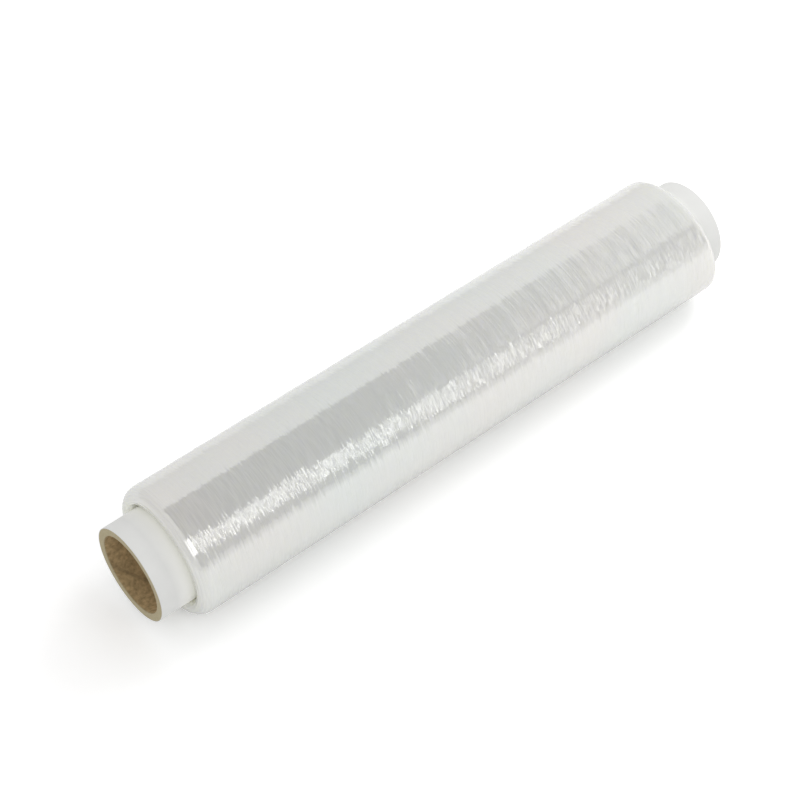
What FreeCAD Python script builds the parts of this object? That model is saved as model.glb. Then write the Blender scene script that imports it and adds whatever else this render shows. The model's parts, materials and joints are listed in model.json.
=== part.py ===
import FreeCAD, Part
import math
import os

# Hand roll of clear stretch wrap: a paper core with a white outer ply, and
# the film wound tight round it.
# The roll lies on its side as on a bench. X runs along the roll, Z is up, and
# the origin is on the bench under the middle of the core. All sizes are in mm.

# Film: the web's width, the diameter it is wound to, and the narrow flat that
# the soft turns press into where the roll rests.
FILM_WIDTH = 406.4
FILM_DIAMETER = 84.1
FLAT_SPOT_WIDTH = 10.0

# Film ends: the edges of the turns sit back a little at the core, swell to a
# rounded nose, then run off into a soft shoulder, longer at the left end. The
# ribs are groups of turns that wound slightly to one side of their neighbours.
CORE_SIDE_SETBACK = 4.4
NOSE_HEIGHT = 5.0
NOSE_SWEEP = 65.0
LEFT_SHOULDER = 8.3
RIGHT_SHOULDER = 5.4
RIBS_BELOW_NOSE = 3
RIBS_ON_SHOULDER = 4
RIB_RISE = 0.25

# Film face: strips of slightly thicker film build up into low rings.
BAND_COUNT = 12
BAND_RISE = 0.2
BAND_SHUFFLE = 0.3

# Core: the bore, the brown plies, the white ply, the bevel at the bore's mouths,
# and how far each end of the core stands out of the film.
CORE_BORE = 50.8
BROWN_WALL = 4.9
WHITE_PLY = 0.4
BORE_BEVEL = 0.6
LEFT_OVERHANG = 21.0
RIGHT_OVERHANG = 13.4

# Sizes that follow from those above.
FILM_RADIUS = FILM_DIAMETER / 2
BORE_RADIUS = CORE_BORE / 2
BROWN_RADIUS = BORE_RADIUS + BROWN_WALL
CORE_RADIUS = BROWN_RADIUS + WHITE_PLY
CORE_LENGTH = LEFT_OVERHANG + FILM_WIDTH + RIGHT_OVERHANG
FILM_LEFT = LEFT_OVERHANG - CORE_LENGTH / 2
FILM_RIGHT = FILM_LEFT + FILM_WIDTH
NOSE_RADIUS = CORE_RADIUS + NOSE_HEIGHT
FACE_RADIUS = FILM_RADIUS - BAND_RISE
AXIS_HEIGHT = math.sqrt(FILM_RADIUS ** 2 - (FLAT_SPOT_WIDTH / 2) ** 2)


def at(x, radius):
    """A point of a profile: along the roll, and out from its axis."""
    return FreeCAD.Vector(x, 0, AXIS_HEIGHT + radius)


def line(a, b):
    return Part.LineSegment(a, b).toShape()


def ridge(a, b, rise):
    """Two lines from a to b by way of a crest that stands out by rise."""
    along = b.sub(a).normalize()
    outward = FreeCAD.Vector(-along.z, 0, along.x)
    crest = (a + b) * 0.5 + outward * rise
    return [line(a, crest), line(crest, b)]


def turned(edges):
    """The solid that a closed profile makes when it turns round the axis."""
    face = Part.Face(Part.Wire(edges))
    axis = FreeCAD.Vector(1, 0, 0)
    return face.revolve(FreeCAD.Vector(0, 0, AXIS_HEIGHT), axis, 360)


def plain_tube(inner, outer):
    """A tube of the core's full length with square rims."""
    half = CORE_LENGTH / 2
    corners = [at(-half, inner), at(-half, outer), at(half, outer), at(half, inner)]
    edges = [line(a, b) for a, b in zip(corners, corners[1:] + corners[:1])]
    return turned(edges)


def core_tube():
    """The brown plies, glued into one stiff tube, with its bore's mouths bevelled."""
    body = plain_tube(BORE_RADIUS, BROWN_RADIUS)
    mouths = [e for e in body.Edges if e.Closed and e.Curve.Radius < BORE_RADIUS + BORE_BEVEL]
    return body.makeChamfer(BORE_BEVEL, mouths)


def core_white_ply():
    """The single white ply that faces the core from rim to rim."""
    return plain_tube(BROWN_RADIUS, CORE_RADIUS)


def end_points(shoulder):
    """The film's end from the core out to the face, as distance in and radius."""
    points = []
    sweep = math.radians(NOSE_SWEEP)
    for k in range(RIBS_BELOW_NOSE, 0, -1):
        turn = sweep * k / RIBS_BELOW_NOSE
        inward = CORE_SIDE_SETBACK * (1 - math.cos(turn)) / (1 - math.cos(sweep))
        points.append((inward, NOSE_RADIUS - NOSE_HEIGHT * math.sin(turn) / math.sin(sweep)))
    for k in range(RIBS_ON_SHOULDER + 1):
        turn = math.pi / 2 * k / RIBS_ON_SHOULDER
        rise = (FACE_RADIUS - NOSE_RADIUS) * math.sin(turn)
        points.append((shoulder * (1 - math.cos(turn)), NOSE_RADIUS + rise))
    return points


def band_edges():
    """Where each ring of the face starts, unevenly spaced along the roll."""
    first = FILM_LEFT + LEFT_SHOULDER
    pitch = (FILM_WIDTH - LEFT_SHOULDER - RIGHT_SHOULDER) / BAND_COUNT
    return [first + pitch * (k + BAND_SHUFFLE * math.sin(2.4 * k)) for k in range(1, BAND_COUNT)]


def film_roll():
    """Every turn of the film as one solid, with its flat spot underneath."""
    left = [at(FILM_LEFT + inward, radius) for inward, radius in end_points(LEFT_SHOULDER)]
    right = [at(FILM_RIGHT - inward, radius) for inward, radius in end_points(RIGHT_SHOULDER)]
    right.reverse()
    face = [left[-1]] + [at(x, FACE_RADIUS) for x in band_edges()] + [right[0]]
    edges = []
    for a, b in zip(left, left[1:]):
        edges += ridge(a, b, RIB_RISE)
    for k, (a, b) in enumerate(zip(face, face[1:])):
        edges += ridge(a, b, BAND_RISE * (0.7 + 0.3 * math.sin(1.7 * k + 1.0)))
    for a, b in zip(right, right[1:]):
        edges += ridge(a, b, RIB_RISE)
    edges.append(line(right[-1], left[0]))
    bench = Part.makeBox(2 * FILM_WIDTH, FILM_DIAMETER, FILM_DIAMETER)
    bench.translate(FreeCAD.Vector(-FILM_WIDTH, -FILM_RADIUS, -FILM_DIAMETER))
    return turned(edges).cut(bench)


os.makedirs("parts", exist_ok=True)
core_tube().exportStep("parts/core_tube.step")
core_white_ply().exportStep("parts/core_white_ply.step")
film_roll().exportStep("parts/film_roll.step")
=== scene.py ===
import json
import math

import bpy
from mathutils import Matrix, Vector

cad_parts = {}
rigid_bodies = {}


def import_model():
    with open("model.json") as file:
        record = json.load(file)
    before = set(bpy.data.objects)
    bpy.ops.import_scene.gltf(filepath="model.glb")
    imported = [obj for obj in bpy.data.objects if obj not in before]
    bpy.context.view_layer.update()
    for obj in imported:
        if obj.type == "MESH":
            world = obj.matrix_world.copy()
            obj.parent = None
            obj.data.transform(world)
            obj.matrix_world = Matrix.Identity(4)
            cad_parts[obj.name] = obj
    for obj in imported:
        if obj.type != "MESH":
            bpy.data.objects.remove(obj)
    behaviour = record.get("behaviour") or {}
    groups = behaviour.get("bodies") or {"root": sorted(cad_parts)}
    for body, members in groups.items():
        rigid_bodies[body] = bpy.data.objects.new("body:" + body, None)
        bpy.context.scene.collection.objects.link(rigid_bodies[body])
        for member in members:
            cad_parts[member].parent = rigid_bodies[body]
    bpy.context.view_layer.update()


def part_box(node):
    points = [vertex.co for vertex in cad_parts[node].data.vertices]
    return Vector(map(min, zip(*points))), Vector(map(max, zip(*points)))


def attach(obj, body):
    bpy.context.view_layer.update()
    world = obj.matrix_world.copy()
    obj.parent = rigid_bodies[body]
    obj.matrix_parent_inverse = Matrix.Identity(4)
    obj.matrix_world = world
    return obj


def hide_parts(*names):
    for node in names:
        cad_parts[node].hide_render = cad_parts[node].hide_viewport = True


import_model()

for loaded in bpy.context.view_layer.objects:
    loaded.select_set(False)


# The wound film.
# Stretch film is a clear polyethylene web, wound tight and turn upon turn, so
# that the stack looks silvery. Its face carries low rings, and the edges of the
# turns make a ribbed nose at each end. It is held on the core by its own grip.
film_low, film_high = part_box("film_roll")
core_low, core_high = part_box("core_white_ply")
CORE_RADIUS = core_high.y
FILM_RADIUS = film_high.y
AXIS_HEIGHT = (core_low.z + core_high.z) / 2
FILM_LEFT = film_low.x
FILM_RIGHT = film_high.x
CORE_SIDE_SETBACK = 0.0044
NOSE_RADIUS = CORE_RADIUS + 0.005
NOSE_SWEEP = math.radians(65)
LEFT_SHOULDER = 0.0083
RIGHT_SHOULDER = 0.0054
RIGHT_LEAN_UP = -0.0059
RIGHT_LEAN_ACROSS = -0.0005
LEAN_REACH = 0.11
FACE_RADIUS = FILM_RADIUS - 0.00016
STEPS_BELOW_NOSE = 26
STEPS_ON_SHOULDER = 34
STEPS_ON_FACE = 190
STEPS_AROUND = 236


def new_piece(name):
    """Names the active object, which is the piece just made, and its mesh."""
    piece = bpy.context.object
    piece.name = name
    piece.data.name = name
    return piece


def draw_profile(points):
    """A chain of edges through (x, radius) points above the roll's axis, drawn vertex by vertex."""
    x, radius = points[0]
    bpy.ops.mesh.primitive_plane_add(size=0.001, location=(x, 0, AXIS_HEIGHT + radius))
    bpy.ops.object.transform_apply(location=True, rotation=True, scale=True)
    bpy.ops.object.mode_set(mode="EDIT")
    bpy.ops.mesh.select_all(action="SELECT")
    bpy.ops.mesh.merge(type="CENTER")
    for (x0, r0), (x1, r1) in zip(points, points[1:]):
        step = (x1 - x0, 0, r1 - r0)
        bpy.ops.mesh.extrude_region_move(TRANSFORM_OT_translate={"value": step})


def spin_profile(steps):
    """Turns the drawn profile once round the roll's axis and closes the joint."""
    bpy.ops.mesh.select_all(action="SELECT")
    bpy.ops.mesh.spin(steps=steps, angle=2 * math.pi, center=(0, 0, AXIS_HEIGHT), axis=(1, 0, 0))
    bpy.ops.mesh.select_all(action="SELECT")
    bpy.ops.mesh.remove_doubles(threshold=1e-7)
    bpy.ops.mesh.select_all(action="SELECT")
    bpy.ops.mesh.normals_make_consistent(inside=False)
    bpy.ops.object.mode_set(mode="OBJECT")


def film_end(shoulder):
    """One end of the film as (distance in from the nose, radius), from the core out to the face."""
    points = []
    for k in range(STEPS_BELOW_NOSE, 0, -1):
        turn = NOSE_SWEEP * k / STEPS_BELOW_NOSE
        inward = CORE_SIDE_SETBACK * (1 - math.cos(turn)) / (1 - math.cos(NOSE_SWEEP))
        radius = NOSE_RADIUS - (NOSE_RADIUS - CORE_RADIUS) * math.sin(turn) / math.sin(NOSE_SWEEP)
        points.append((inward, radius))
    for k in range(STEPS_ON_SHOULDER + 1):
        turn = math.pi / 2 * k / STEPS_ON_SHOULDER
        radius = NOSE_RADIUS + (FACE_RADIUS - NOSE_RADIUS) * math.sin(turn)
        points.append((shoulder * (1 - math.cos(turn)), radius))
    return points


def ribbed(points, phase, depth):
    """Presses the ridges of the turn groups into an end's points, strongest near the nose."""
    out = []
    travelled = 0.0
    for k, (inward, radius) in enumerate(points):
        if k:
            travelled += math.dist(points[k - 1], points[k])
        fade = math.sin(math.pi * k / (len(points) - 1)) ** 0.5
        wave = 0.00009 * math.sin(travelled * 2 * math.pi / 0.0021 + phase)
        wave += 0.00005 * math.sin(travelled * 2 * math.pi / 0.00097 + 2.3 * phase)
        out.append((inward - depth * wave * fade, radius))
    return out


def face_radius(x):
    """The face's radius along the roll: low rings where the film runs slightly thick."""
    rings = math.sin(x * 160 + 0.9) + 0.7 * math.sin(x * 391 + 2.0) + 0.5 * math.sin(x * 703 + 4.1)
    return FACE_RADIUS + 0.000055 * rings


left_end = ribbed(film_end(LEFT_SHOULDER), 0.4, 1.0)
right_end = ribbed(film_end(RIGHT_SHOULDER), 1.9, 2.2)
face_left = FILM_LEFT + LEFT_SHOULDER
face_right = FILM_RIGHT - RIGHT_SHOULDER
film_points = [(FILM_LEFT + inward, radius) for inward, radius in left_end]
for k in range(1, STEPS_ON_FACE):
    x = face_left + (face_right - face_left) * k / STEPS_ON_FACE
    film_points.append((x, face_radius(x)))
film_points += [(FILM_RIGHT - inward, radius) for inward, radius in reversed(right_end)]
film_points.append(film_points[0])

draw_profile(film_points)
spin_profile(STEPS_AROUND)
film = new_piece("film_wrap")
bpy.ops.object.mode_set(mode="EDIT")
bpy.ops.mesh.select_all(action="DESELECT")
bpy.ops.object.mode_set(mode="OBJECT")
for vertex in film.data.vertices:
    vertex.select = vertex.co.z < 0
bpy.ops.object.mode_set(mode="EDIT")
bpy.ops.transform.resize(value=(1, 1, 0), center_override=(0, 0, 0))
bpy.ops.object.mode_set(mode="OBJECT")

# At the right end the turns lean: those underneath stand out further than
# those on top, and the lean fades out along the roll.
for vertex in film.data.vertices:
    gone = (vertex.co.x - (FILM_RIGHT - LEAN_REACH)) / LEAN_REACH
    if gone > 0:
        across, up = vertex.co.y, vertex.co.z - AXIS_HEIGHT
        lean_by = (RIGHT_LEAN_ACROSS * across + RIGHT_LEAN_UP * up) / math.hypot(across, up)
        vertex.co.x += lean_by * gone * gone * (3 - 2 * min(gone, 1.0))
bpy.ops.object.shade_smooth_by_angle(angle=math.radians(40))

film_look = bpy.data.materials.new("clear_film_stack")
film_look.use_nodes = True
film.data.materials.clear()
film.data.materials.append(film_look)
nodes, links = film_look.node_tree.nodes, film_look.node_tree.links
plastic = nodes["Principled BSDF"]
plastic.inputs["Specular IOR Level"].default_value = 0.19
plastic.inputs["Specular Tint"].default_value = (0.62, 0.62, 0.62, 1)
plastic.inputs["IOR"].default_value = 1.52
plastic.inputs["Subsurface Weight"].default_value = 0.65
plastic.inputs["Subsurface Scale"].default_value = 0.016
plastic.inputs["Subsurface Radius"].default_value = (1.0, 1.0, 0.8)
place = nodes.new("ShaderNodeTexCoord")
centred = nodes.new("ShaderNodeMapping")
centred.inputs["Location"].default_value = (0, 0, -AXIS_HEIGHT)
links.new(place.outputs["Object"], centred.inputs["Vector"])

# Strands: fine stretch marks that run round the roll. Each leans the surface
# a little along the roll, and a few lean much more than the rest.
strand_map = nodes.new("ShaderNodeMapping")
strand_map.inputs["Scale"].default_value = (1150, 75, 75)
strands = nodes.new("ShaderNodeTexNoise")
strands.inputs["Scale"].default_value = 1.0
strands.inputs["Detail"].default_value = 1.0
links.new(centred.outputs["Vector"], strand_map.inputs["Vector"])
links.new(strand_map.outputs["Vector"], strands.inputs["Vector"])


def film_sum(kind, first, second):
    """A Math node of the film's material, fed by sockets or plain numbers."""
    node = nodes.new("ShaderNodeMath")
    node.operation = kind
    for socket, value in zip(node.inputs, (first, second)):
        if isinstance(value, (int, float)):
            socket.default_value = value
        else:
            links.new(value, socket)
    return node.outputs["Value"]


swing = film_sum("SUBTRACT", strands.outputs["Fac"], 0.5)
swing_cubed = film_sum("MULTIPLY", film_sum("MULTIPLY", swing, swing), swing)
lean = film_sum("ADD", film_sum("MULTIPLY", swing, 0.4), film_sum("MULTIPLY", swing_cubed, 0.8))
lean_along = nodes.new("ShaderNodeCombineXYZ")
links.new(lean, lean_along.inputs["X"])

# The same strands, taken at another place, also lean it a little round the roll.
twist_map = nodes.new("ShaderNodeMapping")
twist_map.inputs["Location"].default_value = (7.3, 2.1, 5.7)
links.new(strand_map.outputs["Vector"], twist_map.inputs["Vector"])
twists = nodes.new("ShaderNodeTexNoise")
twists.inputs["Scale"].default_value = 1.0
twists.inputs["Detail"].default_value = 1.0
links.new(twist_map.outputs["Vector"], twists.inputs["Vector"])
turn = film_sum("SUBTRACT", twists.outputs["Fac"], 0.5)
turn_cubed = film_sum("MULTIPLY", film_sum("MULTIPLY", turn, turn), turn)
skin = nodes.new("ShaderNodeNewGeometry")
round_roll = nodes.new("ShaderNodeVectorMath")
round_roll.operation = "CROSS_PRODUCT"
round_roll.inputs[0].default_value = (1, 0, 0)
links.new(skin.outputs["Normal"], round_roll.inputs[1])
lean_round = nodes.new("ShaderNodeVectorMath")
lean_round.operation = "SCALE"
links.new(round_roll.outputs["Vector"], lean_round.inputs[0])
links.new(film_sum("ADD", film_sum("MULTIPLY", turn, 0.05), film_sum("MULTIPLY", turn_cubed, 4.0)), lean_round.inputs["Scale"])
both_leans = nodes.new("ShaderNodeVectorMath")
both_leans.operation = "ADD"
links.new(lean_along.outputs["Vector"], both_leans.inputs[0])
links.new(lean_round.outputs["Vector"], both_leans.inputs[1])

# Lanes: broader bands of tension round the roll.
lane_map = nodes.new("ShaderNodeMapping")
lane_map.inputs["Scale"].default_value = (240, 9, 9)
lanes = nodes.new("ShaderNodeTexNoise")
lanes.inputs["Scale"].default_value = 1.0
lanes.inputs["Detail"].default_value = 3.0
links.new(centred.outputs["Vector"], lane_map.inputs["Vector"])
links.new(lane_map.outputs["Vector"], lanes.inputs["Vector"])
lane_bump = nodes.new("ShaderNodeBump")
lane_bump.inputs["Strength"].default_value = 1.0
lane_bump.inputs["Distance"].default_value = 0.00012
links.new(lanes.outputs["Fac"], lane_bump.inputs["Height"])
leaning = nodes.new("ShaderNodeVectorMath")
leaning.operation = "ADD"
links.new(lane_bump.outputs["Normal"], leaning.inputs[0])
links.new(both_leans.outputs["Vector"], leaning.inputs[1])
unit = nodes.new("ShaderNodeVectorMath")
unit.operation = "NORMALIZE"
links.new(leaning.outputs["Vector"], unit.inputs[0])
links.new(unit.outputs["Vector"], plastic.inputs["Normal"])

# A strand is also more or less silvery, and more or less smooth, than the next.
silver = nodes.new("ShaderNodeMapRange")
silver.inputs["From Min"].default_value = 0.38
silver.inputs["From Max"].default_value = 0.62
silver.inputs["To Min"].default_value = 0.25
silver.inputs["To Max"].default_value = 0.32
links.new(strands.outputs["Fac"], silver.inputs["Value"])
links.new(silver.outputs["Result"], plastic.inputs["Metallic"])
smoothness = nodes.new("ShaderNodeMapRange")
smoothness.inputs["From Min"].default_value = 0.48
smoothness.inputs["From Max"].default_value = 0.66
smoothness.inputs["To Min"].default_value = 0.09
smoothness.inputs["To Max"].default_value = 0.13
links.new(twists.outputs["Fac"], smoothness.inputs["Value"])
links.new(smoothness.outputs["Result"], plastic.inputs["Roughness"])

# Colour: clear film stacks up to a milky silver, and shows its faint green
# towards the core, where the eye looks through the most turns. Towards the
# core the colour is also made paler: painted light that lifts the shade in the
# recess where the film meets the core.
tint_noise = nodes.new("ShaderNodeTexNoise")
tint_noise.inputs["Scale"].default_value = 14.0
tint_noise.inputs["Detail"].default_value = 2.0
links.new(centred.outputs["Vector"], tint_noise.inputs["Vector"])
tint = nodes.new("ShaderNodeMix")
tint.data_type = "RGBA"
tint.inputs["A"].default_value = (0.705, 0.75, 0.732, 1)
tint.inputs["B"].default_value = (0.775, 0.742, 0.712, 1)
links.new(tint_noise.outputs["Fac"], tint.inputs["Factor"])
split = nodes.new("ShaderNodeSeparateXYZ")
flatten = nodes.new("ShaderNodeVectorMath")
flatten.operation = "MULTIPLY"
flatten.inputs[1].default_value = (0, 1, 1)
links.new(centred.outputs["Vector"], flatten.inputs[0])
radius_of = nodes.new("ShaderNodeVectorMath")
radius_of.operation = "LENGTH"
links.new(flatten.outputs["Vector"], radius_of.inputs[0])
# Within 7.5 mm of the core the film turns greener and paler. The green is the film's own; the paleness is painted
# light against the shade at the core.
depth = nodes.new("ShaderNodeMapRange")
depth.inputs["From Min"].default_value = CORE_RADIUS
depth.inputs["From Max"].default_value = CORE_RADIUS + 0.0075
depth.inputs["To Min"].default_value = 1.0
depth.inputs["To Max"].default_value = 0.0
links.new(radius_of.outputs["Value"], depth.inputs["Value"])
colour = nodes.new("ShaderNodeMix")
colour.data_type = "RGBA"
colour.inputs["B"].default_value = (0.88, 0.885, 0.78, 1)
links.new(depth.outputs["Result"], colour.inputs["Factor"])
links.new(tint.outputs["Result"], colour.inputs["A"])
links.new(colour.outputs["Result"], plastic.inputs["Base Color"])
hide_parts("film_roll")
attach(film, "root")


# The core's brown wall.
# Strips of brown board are wound in a spiral and glued into one stiff tube.
# The film is wound on it, and its two rims are cut square and worn a little.
wall_low, wall_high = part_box("core_tube")
WALL_RADIUS = wall_high.y
BORE_RADIUS = WALL_RADIUS - 0.0049
CORE_HALF = wall_high.x
RIM_WEAR = 0.0005
STRIP_LEAD = 0.115

wall_points = []
for k in range(7):
    turn = math.pi / 2 * k / 6
    wall_points.append((
        -CORE_HALF + RIM_WEAR * (1 - math.sin(turn)),
        BORE_RADIUS + RIM_WEAR * (1 - math.cos(turn)),
    ))
wall_points.append((-CORE_HALF, WALL_RADIUS - 0.0001))
wall_points.append((-CORE_HALF + 0.0001, WALL_RADIUS))
wall_points += [(-x, radius) for x, radius in reversed(wall_points)]
for k in range(1, 24):
    wall_points.append((CORE_HALF - RIM_WEAR - 2 * (CORE_HALF - RIM_WEAR) * k / 24, BORE_RADIUS))
wall_points.append(wall_points[0])
draw_profile(wall_points)
spin_profile(128)
wall = new_piece("core_wall")
bpy.ops.object.shade_smooth_by_angle(angle=math.radians(30))

board_look = bpy.data.materials.new("brown_core_board")
board_look.use_nodes = True
wall.data.materials.clear()
wall.data.materials.append(board_look)
nodes, links = board_look.node_tree.nodes, board_look.node_tree.links
board = nodes["Principled BSDF"]
board.inputs["Roughness"].default_value = 0.9
place = nodes.new("ShaderNodeTexCoord")
fibre = nodes.new("ShaderNodeTexNoise")
fibre.inputs["Scale"].default_value = 900.0
fibre.inputs["Detail"].default_value = 4.0
links.new(place.outputs["Object"], fibre.inputs["Vector"])
blotch = nodes.new("ShaderNodeTexNoise")
blotch.inputs["Scale"].default_value = 420.0
blotch.inputs["Detail"].default_value = 3.0
links.new(place.outputs["Object"], blotch.inputs["Vector"])
brown = nodes.new("ShaderNodeMix")
brown.data_type = "RGBA"
brown.inputs["A"].default_value = (0.13, 0.085, 0.03, 1)
brown.inputs["B"].default_value = (0.80, 0.585, 0.31, 1)
links.new(blotch.outputs["Fac"], brown.inputs["Factor"])
rim_beige = nodes.new("ShaderNodeMix")
rim_beige.data_type = "RGBA"
rim_beige.inputs["A"].default_value = (0.37, 0.31, 0.18, 1)
rim_beige.inputs["B"].default_value = (0.51, 0.45, 0.30, 1)
links.new(fibre.outputs["Fac"], rim_beige.inputs["Factor"])
along = nodes.new("ShaderNodeSeparateXYZ")
links.new(place.outputs["Object"], along.inputs["Vector"])
out_from_middle = nodes.new("ShaderNodeMath")
out_from_middle.operation = "ABSOLUTE"
links.new(along.outputs["X"], out_from_middle.inputs[0])
at_rim = nodes.new("ShaderNodeMapRange")
at_rim.inputs["From Min"].default_value = CORE_HALF - RIM_WEAR * 1.6
at_rim.inputs["From Max"].default_value = CORE_HALF - RIM_WEAR * 0.4
links.new(out_from_middle.outputs["Value"], at_rim.inputs["Value"])
board_colour = nodes.new("ShaderNodeMix")
board_colour.data_type = "RGBA"
links.new(at_rim.outputs["Result"], board_colour.inputs["Factor"])
links.new(rim_beige.outputs["Result"], board_colour.inputs["B"])

# The inmost strip's edges meet in a dark seam that climbs round the bore.
seam_turn = nodes.new("ShaderNodeMath")
seam_turn.operation = "ARCTAN2"
lowered = nodes.new("ShaderNodeMath")
lowered.operation = "SUBTRACT"
lowered.inputs[1].default_value = AXIS_HEIGHT
links.new(along.outputs["Z"], lowered.inputs[0])
links.new(lowered.outputs["Value"], seam_turn.inputs[0])
links.new(along.outputs["Y"], seam_turn.inputs[1])
turns = nodes.new("ShaderNodeMath")
turns.operation = "MULTIPLY_ADD"
turns.inputs[1].default_value = 1 / (2 * math.pi)
links.new(seam_turn.outputs["Value"], turns.inputs[0])
climb = nodes.new("ShaderNodeMath")
climb.operation = "MULTIPLY"
climb.inputs[1].default_value = 1 / STRIP_LEAD
links.new(along.outputs["X"], climb.inputs[0])
links.new(climb.outputs["Value"], turns.inputs[2])
round_again = nodes.new("ShaderNodeMath")
round_again.operation = "PINGPONG"
round_again.inputs[1].default_value = 0.5
links.new(turns.outputs["Value"], round_again.inputs[0])
seam = nodes.new("ShaderNodeMapRange")
seam.inputs["From Min"].default_value = 0.006
seam.inputs["From Max"].default_value = 0.014
seam.inputs["To Min"].default_value = 0.3
seam.inputs["To Max"].default_value = 0.0
links.new(round_again.outputs["Value"], seam.inputs["Value"])
seamed = nodes.new("ShaderNodeMix")
seamed.data_type = "RGBA"
seamed.inputs["B"].default_value = (0.06, 0.035, 0.012, 1)
links.new(seam.outputs["Result"], seamed.inputs["Factor"])
links.new(brown.outputs["Result"], seamed.inputs["A"])
links.new(seamed.outputs["Result"], board_colour.inputs["A"])
links.new(board_colour.outputs["Result"], board.inputs["Base Color"])
board_bump = nodes.new("ShaderNodeBump")
board_bump.inputs["Distance"].default_value = 0.0002
board_bump.inputs["Strength"].default_value = 0.6
links.new(fibre.outputs["Fac"], board_bump.inputs["Height"])
links.new(board_bump.outputs["Normal"], board.inputs["Normal"])
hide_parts("core_tube")
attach(wall, "root")


# The core's white ply.
# One strip of white paper is wound over the brown wall and glued down, and it
# faces the core from rim to rim. Beside the film its colour is made whiter, as
# painted light.
ply_points = [
    (-CORE_HALF, WALL_RADIUS),
    (-CORE_HALF, CORE_RADIUS - 0.0001),
    (-CORE_HALF + 0.0001, CORE_RADIUS),
    (CORE_HALF - 0.0001, CORE_RADIUS),
    (CORE_HALF, CORE_RADIUS - 0.0001),
    (CORE_HALF, WALL_RADIUS),
    (-CORE_HALF, WALL_RADIUS),
]
draw_profile(ply_points)
spin_profile(128)
ply = new_piece("core_paper")
bpy.ops.object.shade_smooth_by_angle(angle=math.radians(30))

paper_look = bpy.data.materials.new("white_core_paper")
paper_look.use_nodes = True
ply.data.materials.clear()
ply.data.materials.append(paper_look)
nodes, links = paper_look.node_tree.nodes, paper_look.node_tree.links
paper = nodes["Principled BSDF"]
paper.inputs["Roughness"].default_value = 0.62
place = nodes.new("ShaderNodeTexCoord")
cloud = nodes.new("ShaderNodeTexNoise")
cloud.inputs["Scale"].default_value = 120.0
cloud.inputs["Detail"].default_value = 5.0
links.new(place.outputs["Object"], cloud.inputs["Vector"])
white = nodes.new("ShaderNodeMix")
white.data_type = "RGBA"
white.inputs["A"].default_value = (0.73, 0.732, 0.716, 1)
white.inputs["B"].default_value = (0.775, 0.777, 0.762, 1)
links.new(cloud.outputs["Fac"], white.inputs["Factor"])
along = nodes.new("ShaderNodeSeparateXYZ")
links.new(place.outputs["Object"], along.inputs["Vector"])
from_middle = nodes.new("ShaderNodeMath")
from_middle.operation = "ABSOLUTE"
links.new(along.outputs["X"], from_middle.inputs[0])
# Painted light: within about 10 mm of the film's end the paper is made whiter. This stands in for light let through
# the film and hides the shade the film casts on the core.
painted_light_mask = nodes.new("ShaderNodeMapRange")
painted_light_mask.inputs["From Min"].default_value = 0.0105 - FILM_LEFT
painted_light_mask.inputs["From Max"].default_value = 0.0010 - FILM_LEFT
links.new(from_middle.outputs["Value"], painted_light_mask.inputs["Value"])
painted_light_white = nodes.new("ShaderNodeMix")
painted_light_white.data_type = "RGBA"
painted_light_white.inputs["B"].default_value = (0.97, 0.968, 0.93, 1)
links.new(painted_light_mask.outputs["Result"], painted_light_white.inputs["Factor"])
links.new(white.outputs["Result"], painted_light_white.inputs["A"])
links.new(painted_light_white.outputs["Result"], paper.inputs["Base Color"])
paper_bump = nodes.new("ShaderNodeBump")
paper_bump.inputs["Distance"].default_value = 0.0001
paper_bump.inputs["Strength"].default_value = 0.3
links.new(cloud.outputs["Fac"], paper_bump.inputs["Height"])
links.new(paper_bump.outputs["Normal"], paper.inputs["Normal"])
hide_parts("core_white_ply")
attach(ply, "root")


# The bench.
# A plain white sheet that the roll lies on. It keeps the roll's shadow.
bpy.ops.mesh.primitive_plane_add(size=16, location=(0, 0, 0))
bench = new_piece("bench_sheet")
bench_look = bpy.data.materials.new("white_bench")
bench_look.use_nodes = True
bench.data.materials.append(bench_look)
nodes, links = bench_look.node_tree.nodes, bench_look.node_tree.links
nodes.remove(nodes["Principled BSDF"])
sheet = nodes.new("ShaderNodeBsdfDiffuse")
ray = nodes.new("ShaderNodeLightPath")
mirrored = nodes.new("ShaderNodeMath")
mirrored.operation = "ADD"
links.new(ray.outputs["Is Glossy Ray"], mirrored.inputs[0])
links.new(ray.outputs["Is Transmission Ray"], mirrored.inputs[1])
seen = nodes.new("ShaderNodeMath")
seen.operation = "ADD"
links.new(ray.outputs["Is Camera Ray"], seen.inputs[0])
links.new(mirrored.outputs["Value"], seen.inputs[1])
sheet_white = nodes.new("ShaderNodeMix")
sheet_white.data_type = "RGBA"
sheet_white.inputs["A"].default_value = (0.93, 0.93, 0.93, 1)
sheet_white.inputs["B"].default_value = (1.25, 1.25, 1.25, 1)
links.new(seen.outputs["Value"], sheet_white.inputs["Factor"])
links.new(sheet_white.outputs["Result"], sheet.inputs["Color"])
links.new(sheet.outputs["BSDF"], nodes["Material Output"].inputs["Surface"])


# The light.
# A white tent lights the roll evenly. Cards show only as what the film
# reflects, a row of strip lamps shines between them, and two soft lamps fill
# in the top and the far end.
world = bpy.data.worlds.new("white_tent")
bpy.context.scene.world = world
world.use_nodes = True
world.node_tree.nodes["Background"].inputs["Color"].default_value = (1, 1, 1, 1)
world.node_tree.nodes["Background"].inputs["Strength"].default_value = 0.79

def show_card(name, corners):
    """A flat card through four corners, seen only in reflections, and its material's nodes."""
    bpy.ops.mesh.primitive_plane_add(size=1, location=(0, 0, 0))
    piece = new_piece(name)
    order = (0, 1, 3, 2)
    for index, corner in zip(order, corners):
        piece.data.vertices[index].co = corner
    card_look = bpy.data.materials.new(name)
    card_look.use_nodes = True
    card_look.node_tree.nodes["Principled BSDF"].inputs["Roughness"].default_value = 1.0
    piece.data.materials.append(card_look)
    piece.visible_camera = False
    piece.visible_diffuse = False
    piece.visible_shadow = False
    return card_look.node_tree.nodes, card_look.node_tree.links


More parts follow.
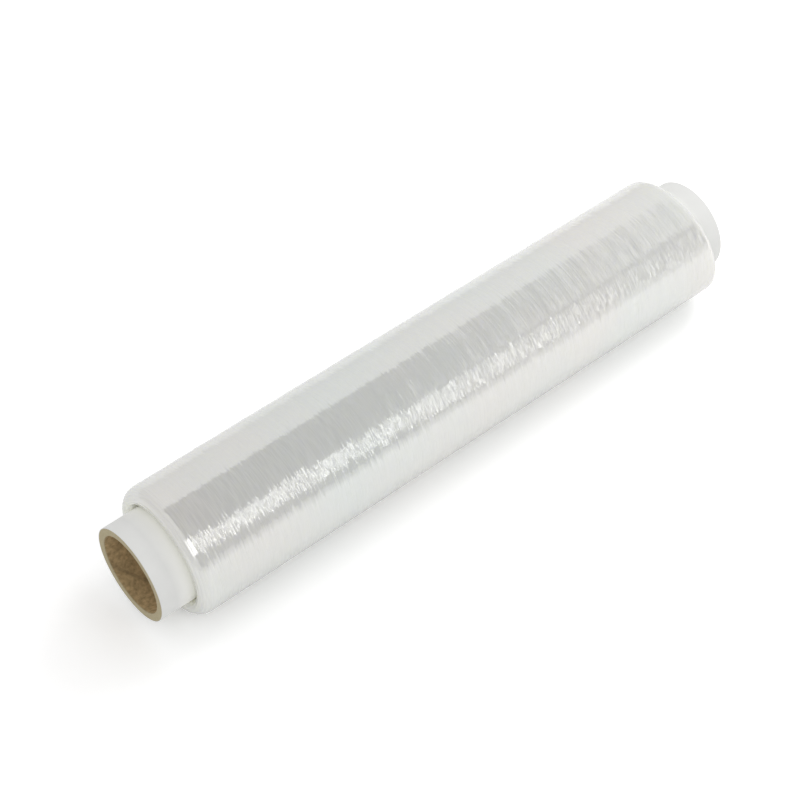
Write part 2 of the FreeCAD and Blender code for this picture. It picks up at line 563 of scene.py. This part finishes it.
# The card above is dark, and fades to white to the right.
nodes, links = show_card("card_above", [(-0.7, -1.0, 1.2), (1.15, -1.0, 1.2), (1.15, 0.56, 1.2), (-0.7, 0.56, 1.2)])
place = nodes.new("ShaderNodeTexCoord")
split = nodes.new("ShaderNodeSeparateXYZ")
links.new(place.outputs["Object"], split.inputs["Vector"])
fade = nodes.new("ShaderNodeMapRange")
fade.inputs["From Min"].default_value = 0.55
fade.inputs["From Max"].default_value = 1.1
fade.inputs["To Min"].default_value = 0.04
fade.inputs["To Max"].default_value = 0.95
links.new(split.outputs["X"], fade.inputs["Value"])
links.new(fade.outputs["Result"], nodes["Principled BSDF"].inputs["Base Color"])

# The card in front is a mid grey, and the one beyond the near end glows.
nodes, links = show_card("card_front", [(-0.7, -1.3, 0.22), (2.0, -1.3, 0.22), (2.0, -1.3, 1.9), (-0.7, -1.3, 1.9)])
nodes["Principled BSDF"].inputs["Base Color"].default_value = (0.25, 0.25, 0.25, 1)
nodes, links = show_card("card_near", [(-0.16, -1.05, 0.65), (-0.77, -0.95, 0.57), (-0.80, -0.62, 0.93), (-0.16, -0.65, 1.05)])
nodes["Principled BSDF"].inputs["Emission Color"].default_value = (1, 1, 1, 1)
nodes["Principled BSDF"].inputs["Emission Strength"].default_value = 2.2


def soft_lamp(name, place_at, aim_at, width, height, watts):
    """A rectangular lamp that the camera does not see."""
    bpy.ops.object.light_add(type="AREA", location=place_at)
    lamp = bpy.context.object
    lamp.name = name
    lamp.data.shape = "RECTANGLE"
    lamp.data.size = width
    lamp.data.size_y = height
    lamp.data.energy = watts
    lamp.rotation_euler = (Vector(aim_at) - lamp.location).to_track_quat("-Z", "Y").to_euler()
    lamp.visible_camera = False
    return lamp


for k, (x, y, z, length, watts) in enumerate((
    (0.05, -0.94, 0.93, 0.62, 0.46),
    (0.29, -1.00, 0.86, 0.80, 0.54),
    (0.53, -1.06, 0.66, 0.82, 0.50),
    (0.77, -1.08, 0.55, 0.80, 0.30),
    (1.01, -1.05, 0.52, 0.80, 0.14),
)):
    soft_lamp(f"strip_lamp_{k + 1}", (x, y, z), (x - 0.5, 0, AXIS_HEIGHT), 0.085, length, watts)
for name, place_at, aim_x, watts in (
    ("top_lamp", (0.55, 0.05, 0.70), 0.28, 1.6),
    ("far_lamp", (0.75, -0.30, 0.55), core_high.x, 0.12),
):
    fill = soft_lamp(name, place_at, (aim_x, 0, AXIS_HEIGHT), 0.4, 0.4, watts)
    fill.visible_glossy = False



# The camera.
# It stands at the photograph's place, looking down along the roll.
bpy.ops.object.camera_add(location=(-0.5463, -0.6271, AXIS_HEIGHT + 0.9394))
camera = bpy.context.object
camera.data.lens = 93.06
camera.data.sensor_width = 36
camera.data.clip_end = 100
camera.rotation_euler = (math.radians(90 - 48.85), 0, math.radians(50.15 - 90))
bpy.context.scene.camera = camera
bpy.context.scene.view_settings.view_transform = "Standard"
